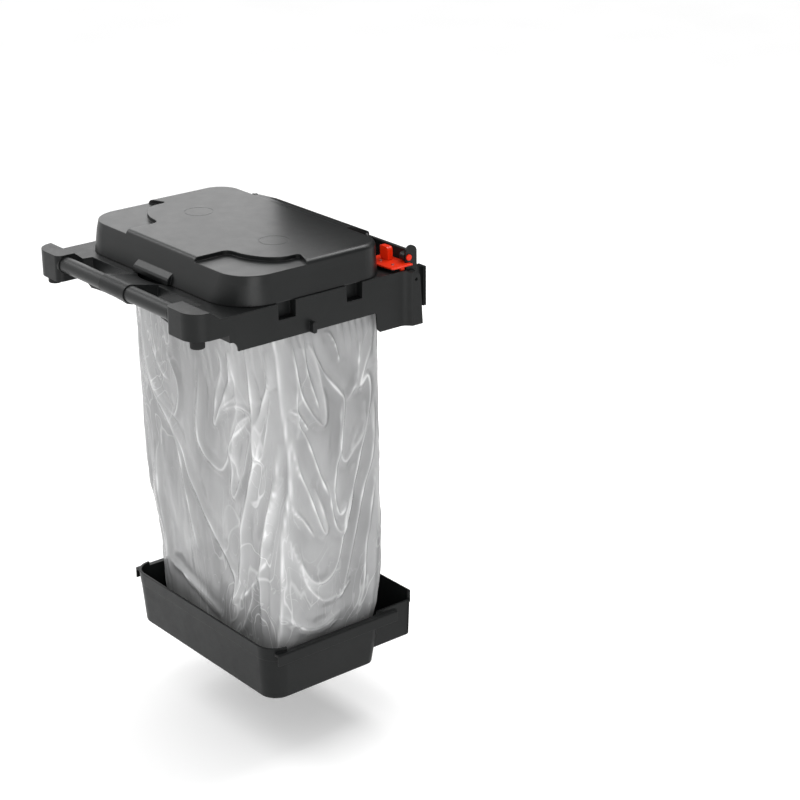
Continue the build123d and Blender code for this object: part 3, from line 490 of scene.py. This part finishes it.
full = np.zeros(len(verts), dtype=np.float32)
full[: len(crest_layers_and_highlight)] = crest_layers_and_highlight
mesh.attributes.new("crest_layers_and_highlight", "FLOAT", "POINT").data.foreach_set("value", full)
full = np.zeros(len(verts), dtype=np.float32)
full[: len(shade)] = np.clip(shade, -1, 1)
mesh.attributes.new("shade", "FLOAT", "POINT").data.foreach_set("value", full)
for p in mesh.polygons:
    p.use_smooth = True
bag = bpy.data.objects.new("bag_film", mesh)
scene.collection.objects.link(bag)
bag.data.materials.append(FILM)
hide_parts("waste_bag")
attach(bag, "bracket")
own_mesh(bag)

# ------------------------------------------------------------------ springs: each is swapped for its own copy, carried by its body
for node, body, joint, x0, keep in (
    ("slider_spring_right", "deck", "latch_slide_right", 0.1978, 0.54),
    ("slider_spring_left", "deck", "latch_slide_left", -0.1978, 0.54),
    ("button_spring_right", "bracket", "lock_button_right_press", 0.2457, 0.68),
    ("button_spring_left", "bracket", "lock_button_left_press", -0.2457, 0.68),
):
    soft = bpy.data.objects.new(node + "_soft", nodes[node].data.copy())
    scene.collection.objects.link(soft)
    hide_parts(node)
    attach(soft, body)
    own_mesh(soft)

# ------------------------------------------------------------------ floor, flags and lights
floor_z = -0.151
bpy.ops.mesh.primitive_plane_add(size=60.0, location=(0, 0, floor_z))
floor = bpy.context.object
floor.name = "studio_floor"
FLOOR, fnt, fb = new_material("studio floor")
fvec = coords(fnt)
fnt.links.new(ramp(fnt, noise_tex(fnt, fvec, 2.0, 2.0), [(0.3, (0.90, 0.90, 0.90)), (0.7, (0.93, 0.93, 0.93))]), fb.inputs["Base Color"])
fb.inputs["Roughness"].default_value = 0.9
fb.inputs["Emission Color"].default_value = (1.0, 1.0, 1.0, 1.0)
fb.inputs["Emission Strength"].default_value = 0.22
fb.inputs["Specular IOR Level"].default_value = 0.1
floor.data.materials.append(FLOOR)

# a dark flag stands where a cart's body would be, seen only in reflections and through the film
bpy.ops.mesh.primitive_plane_add(size=1.0, location=(0.0, 0.300, 0.52), rotation=(math.pi / 2, 0, 0))
flag = bpy.context.object
flag.name = "studio_flag"
flag.scale = (0.54, 1.16, 1.0)
FLAG, gnt, gb = new_material("studio flag")
gvec = coords(gnt)
gnt.links.new(ramp(gnt, noise_tex(gnt, gvec, 4.0, 2.0), [(0.3, (0.045, 0.045, 0.045)), (0.7, (0.06, 0.06, 0.06))]), gb.inputs["Base Color"])
gb.inputs["Roughness"].default_value = 0.8
flag.data.materials.append(FLAG)
flag.visible_camera = False
flag.visible_shadow = False

world = bpy.data.worlds.new("studio")
scene.world = world
world.use_nodes = True
wnt = world.node_tree
wtc = wnt.nodes.new("ShaderNodeTexCoord")
wdot = wnt.nodes.new("ShaderNodeVectorMath")
wdot.operation = "DOT_PRODUCT"
wdot.inputs[1].default_value = (0.92, 0.25, -0.05)
wnt.links.new(wtc.outputs["Generated"], wdot.inputs[0])
wmap = wnt.nodes.new("ShaderNodeMapRange")
wmap.inputs["From Min"].default_value = 0.0
wmap.inputs["From Max"].default_value = 0.9
wmap.inputs["To Min"].default_value = 1.0
wmap.inputs["To Max"].default_value = 0.24
wnt.links.new(wdot.outputs["Value"], wmap.inputs["Value"])
wnt.links.new(wmap.outputs[0], wnt.nodes["Background"].inputs[0])
wnt.nodes["Background"].inputs[1].default_value = 1.0


def area(name, loc, target, size, power, size_y=None):
    light = bpy.data.lights.new(name, "AREA")
    light.energy = power
    light.size = size
    if size_y:
        light.shape = "RECTANGLE"
        light.size_y = size_y
    o = bpy.data.objects.new(name, light)
    scene.collection.objects.link(o)
    o.location = loc
    o.rotation_euler = (Vector(target) - Vector(loc)).to_track_quat("-Z", "Y").to_euler()
    return o


area("softbox_rear_left", (-2.6, 1.9, 2.1), (-0.1, 0.0, 0.88), 2.6, 18.0, 1.6)
area("softbox_front_left", (-1.9, -2.6, 1.9), (0.0, 0.0, 0.5), 1.8, 1.2)
area("softbox_rear_top", (0.1, 1.9, 3.1), (0.0, 0.0, 0.8), 2.0, 50.0, 0.9)
area("softbox_left_top", (-2.2, -1.1, 2.7), (0.0, 0.0, 0.8), 1.6, 17.0, 0.8)
area("softbox_right", (2.4, -0.9, 0.9), (0.0, 0.0, 0.45), 1.4, 17.0)

# ------------------------------------------------------------------ camera
az, pitch, roll = math.radians(50.7335), math.radians(21.7373), math.radians(-0.4114)
f = Vector((-math.sin(az) * math.cos(pitch), math.cos(az) * math.cos(pitch), -math.sin(pitch)))
r = f.cross(Vector((0, 0, 1))).normalized()
u = r.cross(f)
c, s = math.cos(roll), math.sin(roll)
right, up = c * r + s * u, -s * r + c * u
cam_data = bpy.data.cameras.new("camera")
cam_data.lens = 92.17
cam_data.sensor_width = 36.0
cam_data.clip_end = 60.0
cam = bpy.data.objects.new("camera", cam_data)
scene.collection.objects.link(cam)
m = Matrix((right, up, -f)).transposed().to_4x4()
m.translation = Vector((3.1547, -2.1630, 2.0624))
cam.matrix_world = m
scene.camera = cam
scene.view_settings.view_transform = "Standard"

bpy.context.view_layer.update()
